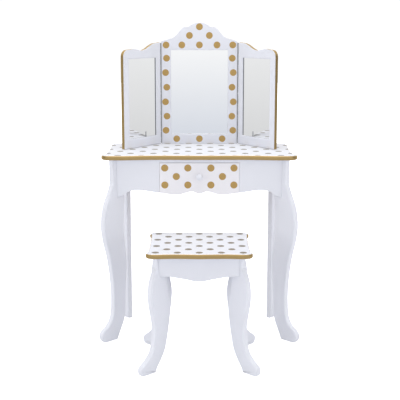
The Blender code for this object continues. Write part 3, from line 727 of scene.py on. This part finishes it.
# ---------- operators
class DressingOperator:
    """What every step shares."""
    bl_options = {"REGISTER", "UNDO"}

    def execute(self, context):
        self.build(context, context.scene.dressing_sizes)
        return {"FINISHED"}


class DRESSING_OT_tops(DressingOperator, Operator):
    """Tabletop and seat: serpentine boards with gilt, rounded rims"""
    bl_idname = "dressing.tops"
    bl_label = "Tabletop and Seat"

    def build(self, context, sizes):
        white_bands = 3
        for name, top, node, body in (("tabletop", "table", "table_top", "table"),
                                      ("seat", "seat", "stool_seat", "stool")):
            low, high, outline = planned_top(sizes, top)
            grid = rounded_board(outline, high.z - low.z, sizes.rim, 8)
            grid[..., 2] += high.z
            bands = (np.arange(len(grid) - 1) >= white_bands).astype(int)
            join_frame(skin(name, grid, ("lacquer", "gilt_rim"), bands), body,
                       "white_lacquer", node)


class DRESSING_OT_legs(DressingOperator, Operator):
    """Legs: flat cabriole boards that stand diagonally in the corners"""
    bl_idname = "dressing.legs"
    bl_label = "Legs"

    def build(self, context, sizes):
        for prefix in ("table", "stool"):
            low, y, edge = legged(sizes, prefix)
            under = low.z - GAP
            outer, inner = {"table": (TABLE_LEG_OUTER, TABLE_LEG_INNER),
                            "stool": (STOOL_LEG_OUTER, STOOL_LEG_INNER)}[prefix]
            straight = getattr(sizes, f"{prefix}_straight")
            curved = leg_outline(outer, inner, low.z, straight, sizes.steps)
            curved[:, 1] = np.minimum(curved[:, 1], under)
            square = rectangle(-sizes.back_leg, 0, 0, under)
            for across, back, corner in CORNERS:
                outline = square if prefix == "table" and back > 0 else curved
                grid = rounded_board(outline, sizes.leg_board, sizes.leg_rounding, 6)
                grid[..., 2] += sizes.leg_board / 2
                grid = carry(grid, corner_matrix(across, back, edge, y))
                name = f"{prefix}_leg_{corner}"
                join_frame(skin(f"{name}_board", grid, ["lacquer"]), prefix,
                           "white_lacquer", name)


class DRESSING_OT_aprons(DressingOperator, Operator):
    """Aprons: scalloped boards mitred between the legs"""
    bl_idname = "dressing.aprons"
    bl_label = "Aprons"

    def build(self, context, sizes):
        for prefix in ("table", "stool"):
            low, y, edge = legged(sizes, prefix)
            setback = getattr(sizes, f"{prefix}_setback")
            notch = (sizes.drawer_width / 2 + sizes.side_clearance,
                     sizes.drawer_rail - sizes.clearance)
            for side, along, turn in (("front", 0, 0), ("back", 0, 180), ("left", 1, -90),
                                      ("right", 1, 90)):
                half = apron_half(sizes, edge, along, setback)
                faces_sitter = prefix == "table" and side == "front"
                scallop = (STOOL_SCALLOP if prefix == "stool" else
                           FRONT_SCALLOP if faces_sitter else PLAIN_SCALLOP)
                outline = apron_outline(half, scallop, notch if faces_sitter else None)
                grid = rounded_board(outline, sizes.apron, sizes.edge, 4)
                reach = half + grid[..., 2]
                grid[..., 0] = np.clip(grid[..., 0], -reach, reach)
                face = edge[1 - along] + sizes.leg_board / 2 * DIAGONAL - setback
                place = (Matrix.Translation((0, y, low.z))
                         @ Matrix.Rotation(math.radians(turn), 4, "Z")
                         @ facing_front(0, -face, 0))
                name = f"{prefix}_apron_{side}"
                join_frame(skin(f"{name}_board", carry(grid, place), ["lacquer"]), prefix,
                           "white_lacquer", name)


class DRESSING_OT_drawer(DressingOperator, Operator):
    """Drawer: its scalloped front, a turned knob and the bare wood of its box"""
    bl_idname = "dressing.drawer"
    bl_label = "Drawer"

    def build(self, context, sizes):
        low, y, edge = legged(sizes, "table")
        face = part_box("drawer_front")[0].y
        half = apron_half(sizes, edge, 0, sizes.table_setback)
        outline = drawer_outline(half, sizes.drawer_width / 2, sizes.drawer_rail)
        grid = carry(rounded_board(outline, sizes.apron, sizes.edge, 4),
                     facing_front(0, face, low.z))
        join_frame(skin("drawer_front_board", grid, ["drawer_lacquer"]), "drawer",
                   "white_lacquer", "drawer_front")
        knob_low, knob_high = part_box("drawer_knob")
        profile = catmull_rom(np.multiply(KNOB, (sizes.knob_radius, sizes.knob_length)), 4)
        place = facing_front(0, knob_high.y - GAP, (knob_low.z + knob_high.z) / 2)
        grid = carry(turned(profile[::-1], 40), place)
        join_frame(skin("drawer_turned_knob", grid, ["lacquer"]), "drawer", "white_lacquer",
                   "drawer_knob")
        refinish("birch_along", "drawer_side_left", "drawer_side_right", "drawer_bottom",
                 "drawer_runner_left", "drawer_runner_right")
        refinish("birch_across", "drawer_back")
        refinish("zinc", "drawer_knob_screw")


class DRESSING_OT_mirrors(DressingOperator, Operator):
    """Mirrors: the crested middle panel and its two folding wings"""
    bl_idname = "dressing.mirrors"
    bl_label = "Mirror Panel and Wings"

    def build(self, context, sizes):
        low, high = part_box("mirror_frame")
        board = high.y - low.y
        window = (-sizes.window_width / 2, sizes.window_width / 2, sizes.window_sill,
                  sizes.window_head)
        outline = panel_outline(high.x, sizes.shoulder, sizes.steps)
        self.frame_board("mirror_panel", outline, window, board,
                         facing_front(0, low.y, low.z - GAP), "table", "mirror_frame")
        for side, name in ((-1, "left_wing"), (1, "right_wing")):
            leaf = frame["nodes"][f"{name}_frame"].data.vertices
            local = carry(np.array([v.co for v in leaf]), pin_matrix(side).inverted())
            near, far = np.abs(local[:, 0]).min(), np.abs(local[:, 0]).max()
            outline = (wing_outline(sizes, near, far - near) * (side, 1))[::side]
            window = (*sorted((side * sizes.wing_near, side * sizes.wing_far)),
                      sizes.wing_sill, sizes.wing_head)
            place = pin_matrix(side) @ facing_front(0, local[:, 1].min(), 0)
            self.frame_board(f"{name}_board", outline, window, board, place, name,
                             f"{name}_frame")
        for name in ("mirror", "left_wing", "right_wing"):
            refinish("silvered_glass", f"{name}_glass")
            refinish("hardboard", f"{name}_backing")
        refinish("zinc", "mirror_screw_left", "mirror_screw_right")
        # the mirrors show the plain room and the tabletop; the boards round them stay out
        for name, node in frame["nodes"].items():
            if name.endswith(("_glass", "_backing")) or "hinge" in name:
                node.visible_glossy = False

    def frame_board(self, name, outline, window, thickness, place, body, node):
        """A rebated frame: lacquered faces, a gilt rim and painted shade, a dark grey, on the
        window's walls.
        """
        sizes = bpy.context.scene.dressing_sizes
        finishes = ("lacquer", "gilt_rim", "routed_edge")
        steps = 4
        grid = framed_board(outline, window, thickness, sizes.lip, sizes.rebate, sizes.edge,
                            sizes.arris, steps)
        bands = np.zeros(len(grid), int)
        bands[2 * steps - 1:3 * steps - 1] = 1
        # painted shade: the band of the window's walls is dark grey
        bands[-1] = 2
        board = join_frame(skin(name, carry(grid, place), finishes, bands, closed=True),
                           body, "white_lacquer", node)
        board.visible_glossy = False


class DRESSING_OT_dots(DressingOperator, Operator):
    """Gilt dots: printed on the tops, the mirror panel and the drawer"""
    bl_idname = "dressing.dots"
    bl_label = "Gilt Dots"

    def build(self, context, sizes):
        upright = disc(sizes.dot, sizes.dot_height)
        low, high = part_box("mirror_frame")
        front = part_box("drawer_front")[0].y
        for name, spots, place, body in (
                ("mirror_dots", PANEL_DOTS, facing_front(0, low.y, low.z - GAP), "table"),
                ("drawer_dots", DRAWER_DOTS, facing_front(0, front, 0), "drawer")):
            spots = np.unique(np.vstack((spots, np.multiply(spots, (-1, 1)))), axis=0)
            centres = np.column_stack((spots, np.zeros(len(spots))))
            grid = carry(upright + centres[:, None, None], place)
            dots = join_frame(skin(name, grid, ["gilt_dots"]), body, "gold_paint")
            dots.visible_glossy = False
        for name, top, body, shifted in (("tabletop_dots", "table", "table", 1),
                                         ("seat_dots", "seat", "stool", 0)):
            low, high, outline = planned_top(sizes, top)
            pitch, row, first = [getattr(sizes, f"{top}_{span}")
                                 for span in ("pitch", "row", "first")]
            border = inset(outline, [sizes.rim * PRINTED])[0]
            outwards = (outline - border) / np.linalg.norm(outline - border, axis=1,
                                                           keepdims=True)
            ys = np.arange(low.y + first, high.y + sizes.top_dot, row)
            dots = []
            for count, y in enumerate(ys):
                shift = pitch / 2 * ((count + shifted) % 2)
                for x in np.arange(-DOTS_ASIDE, DOTS_ASIDE + 1) * pitch + shift:
                    dots.append(clipped_disc(np.array((x, y)), sizes.top_dot,
                                             sizes.dot_height, border, outwards))
            grid = np.stack([dot for dot in dots if dot is not None])
            grid[..., 2] += high.z
            # painted reflection: the top dots' colour greys at a low angle
            join_frame(skin(name, grid, ["gilt_top_dots"]), body, "gold_paint")


class DRESSING_OT_hardware(DressingOperator, Operator):
    """Hardware: strip hinges, corner plates and their bolts"""
    bl_idname = "dressing.hardware"
    bl_label = "Hardware"

    def build(self, context, sizes):
        plates = [name for name in frame["nodes"] if "corner_plate" in name]
        refinish("zinc", *plates)
        refinish("hinge_steel", *[name for name in frame["nodes"] if "hinge" in name])
        radius, flange, washer, crown = sizes.bolt_radius, sizes.bolt_radius * 1.5, .0012, .0046
        bolt = turned(((.0004, crown), (radius * .55, .0045), (radius * .85, .0036),
                       (radius, .0022), (radius, washer), (flange, washer), (flange, 0)), 24)
        heads = {"table": [], "stool": []}
        for name in plates:
            across = -1 if name.endswith("left") else 1
            back = -1 if "front" in name else 1
            points = np.array([v.co for v in frame["nodes"][name].data.vertices])
            leg = sum(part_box(name.replace("corner_plate", "leg")), Vector()) / 2
            reach = points[:, 0] * across + (points[:, 1] - leg.y) * back
            far = (reach.max() - PLATE / DIAGONAL - leg.x * across) / 2
            out = Vector((across, back, 0)).normalized()
            turn = Matrix((Vector((0, 0, 1)).cross(-out), (0, 0, 1), -out)).transposed()
            for share in BOLT_HEIGHTS:
                height = points[:, 2].min() + share * np.ptp(points[:, 2])
                place = (leg.x + across * far, leg.y + back * far, height)
                heads[name.split("_")[0]].append(
                    carry(bolt, Matrix.Translation(place) @ turn.to_4x4()))
        for prefix, bolts in heads.items():
            join_frame(skin(f"{prefix}_corner_bolts", np.stack(bolts), ["zinc"]), prefix,
                       "zinc_steel")


class DRESSING_OT_studio(DressingOperator, Operator):
    """Studio: a pale floor, soft lights all round and the camera"""
    bl_idname = "dressing.studio"
    bl_label = "Studio"

    def build(self, context, sizes):
        scene, studio = context.scene, context.scene.dressing_studio
        scene.view_settings.view_transform = "Standard"
        self.floor(scene.dressing_colours)
        self.world(scene, studio)
        self.room(scene.dressing_colours)
        self.flags(scene.dressing_colours)
        for name, (size, place, aim) in LAMPS.items():
            light = bpy.data.lights.new(name, "AREA")
            light.energy = getattr(studio, name)
            light.size = size
            lamp = put_in_scene(name, light)
            lamp.location = place
            lamp.rotation_euler = (Vector(aim) - Vector(place)).to_track_quat("-Z", "Y").to_euler()
        lens = bpy.data.cameras.new("front")
        lens.lens = studio.lens
        scene.camera = put_in_scene("front", lens)
        scene.camera.location = (CAMERA_X, -studio.camera_y, studio.camera_z)
        scene.camera.rotation_euler = (math.pi / 2 - studio.tilt, 0, 0)

    def sheet(self, name, corners, look):
        """A flat piece of the stage."""
        mesh = bpy.data.meshes.new(name)
        mesh.from_pydata(corners, [], [range(4)])
        mesh.materials.append(look)
        made = put_in_scene(name, mesh)
        return made

    def floor(self, colours):
        """White vinyl floor: the camera sees it burnt out, and the set gets a softer white."""
        look, tree, shader, place = start_look(
            "studio_floor", Base_Color=(*colours.floor, 1), Roughness=.9,
            Specular_IOR_Level=.1, Emission_Color=(1, 1, 1, 1))
        ray = add_node(tree, "ShaderNodeLightPath").outputs
        feed(shader, Emission_Strength=ray["Is Camera Ray"])
        corners = [(*corner, 0) for corner in rectangle(*FLOOR)]
        self.sheet("studio_floor", corners, look).visible_glossy = False

    def world(self, scene, studio):
        """White all round: full white behind the set, less as light, dimmer low in mirrors."""
        world = bpy.data.worlds.new("white_studio")
        world.use_nodes = True
        tree = world.node_tree
        ray = add_node(tree, "ShaderNodeLightPath").outputs
        heading = add_node(tree, "ShaderNodeTexCoord").outputs["Generated"]
        slope = add_node(tree, "ShaderNodeSeparateXYZ", Vector=heading).outputs["Z"]
        gloss = add_node(tree, "ShaderNodeMapRange", Value=slope, From_Min=GLOSS_SLOPES[0],
                         From_Max=GLOSS_SLOPES[1], To_Min=GLOSS_WHITES[0],
                         To_Max=GLOSS_WHITES[1])
        lit = add_node(tree, "ShaderNodeMapRange", Value=ray["Is Glossy Ray"],
                       To_Min=studio.surround, To_Max=gloss)
        white = add_node(tree, "ShaderNodeMapRange", Value=ray["Is Camera Ray"], To_Min=lit,
                         To_Max=BACKDROP)
        feed(tree.nodes["Background"], Strength=white, Color=(1, 1, 1, 1))
        scene.world = world

    def room(self, colours):
        """The room behind the camera, which is hidden from it: white, and dimmer low down."""
        look, tree, glow = self.glowing("far_room")
        place = add_node(tree, "ShaderNodeTexCoord").outputs["Object"]
        height = add_node(tree, "ShaderNodeSeparateXYZ", Vector=place).outputs["Z"]
        ramp = add_node(tree, "ShaderNodeValToRGB", Fac=height)
        ramp.color_ramp.elements[0].color = (*colours.far_room, 1)
        ramp.color_ramp.elements[1].position = ROOM_WHITE
        feed(glow, Color=ramp)
        x, y, top = ROOM
        self.sheet("far_room", ((-x, y, 0), (-x, y, top), (x, y, top), (x, y, 0)),
                   look).visible_camera = False

    def flags(self, colours):
        """Dark cards at the sides that only satin paint and metal reflect, not the mirrors."""
        front, back, foot, top = FLAG_EDGES
        for name, x, tone in (("left_flag", -FLAG_X, colours.left_flag),
                              ("right_flag", FLAG_X, colours.right_flag)):
            look, tree, glow = self.glowing(name)
            feed(glow, Color=(*tone, 1))
            ray = add_node(tree, "ShaderNodeLightPath").outputs
            mixed = add_node(tree, "ShaderNodeMixShader", Fac=ray["Is Singular Ray"])
            clear = add_node(tree, "ShaderNodeBsdfTransparent")
            for socket, surface in zip(mixed.inputs[1:], (glow, clear)):
                tree.links.new(surface.outputs[0], socket)
            feed(tree.nodes["Material Output"], Surface=mixed)
            card = self.sheet(name, ((x, front, foot), (x, back, foot), (x, back, top),
                                     (x, front, top)), look)
            card.visible_camera = card.visible_diffuse = card.visible_shadow = False

    def glowing(self, name):
        """A plain emission material, its node tree and its Emission node."""
        look = bpy.data.materials.new(name)
        look.use_nodes = True
        tree = look.node_tree
        tree.nodes.remove(tree.nodes["Principled BSDF"])
        glow = add_node(tree, "ShaderNodeEmission")
        feed(tree.nodes["Material Output"], Surface=glow)
        return look, tree, glow


STEPS = (DRESSING_OT_tops, DRESSING_OT_legs, DRESSING_OT_aprons, DRESSING_OT_drawer,
         DRESSING_OT_mirrors, DRESSING_OT_dots, DRESSING_OT_hardware, DRESSING_OT_studio)


class DRESSING_PT_sidebar(Panel):
    """Lists the set's building steps and what they read"""
    bl_idname = "DRESSING_PT_sidebar"
    bl_label = "Dressing Table"
    bl_space_type = "VIEW_3D"
    bl_region_type = "UI"
    bl_category = "Dressing Table"

    def draw(self, context):
        for step in STEPS:
            self.layout.operator(step.bl_idname)
        for group in ("dressing_sizes", "dressing_colours", "dressing_studio"):
            settings = getattr(context.scene, group)
            column = self.layout.column(align=True)
            for name in settings.__annotations__:
                column.prop(settings, name)


CLASSES = (DressingTableSizes, DressingTableColours, DressingTableStudio, *STEPS,
           DRESSING_PT_sidebar)


def register():
    for cls in CLASSES:
        bpy.utils.register_class(cls)
    bpy.types.Scene.dressing_sizes = PointerProperty(type=DressingTableSizes)
    bpy.types.Scene.dressing_colours = PointerProperty(type=DressingTableColours)
    bpy.types.Scene.dressing_studio = PointerProperty(type=DressingTableStudio)


def unregister():
    del bpy.types.Scene.dressing_studio
    del bpy.types.Scene.dressing_colours
    del bpy.types.Scene.dressing_sizes
    for cls in reversed(CLASSES):
        bpy.utils.unregister_class(cls)


def main():
    register()
    for step in STEPS:
        group, name = step.bl_idname.split(".")
        getattr(getattr(bpy.ops, group), name)()


if __name__ == "__main__":
    main()
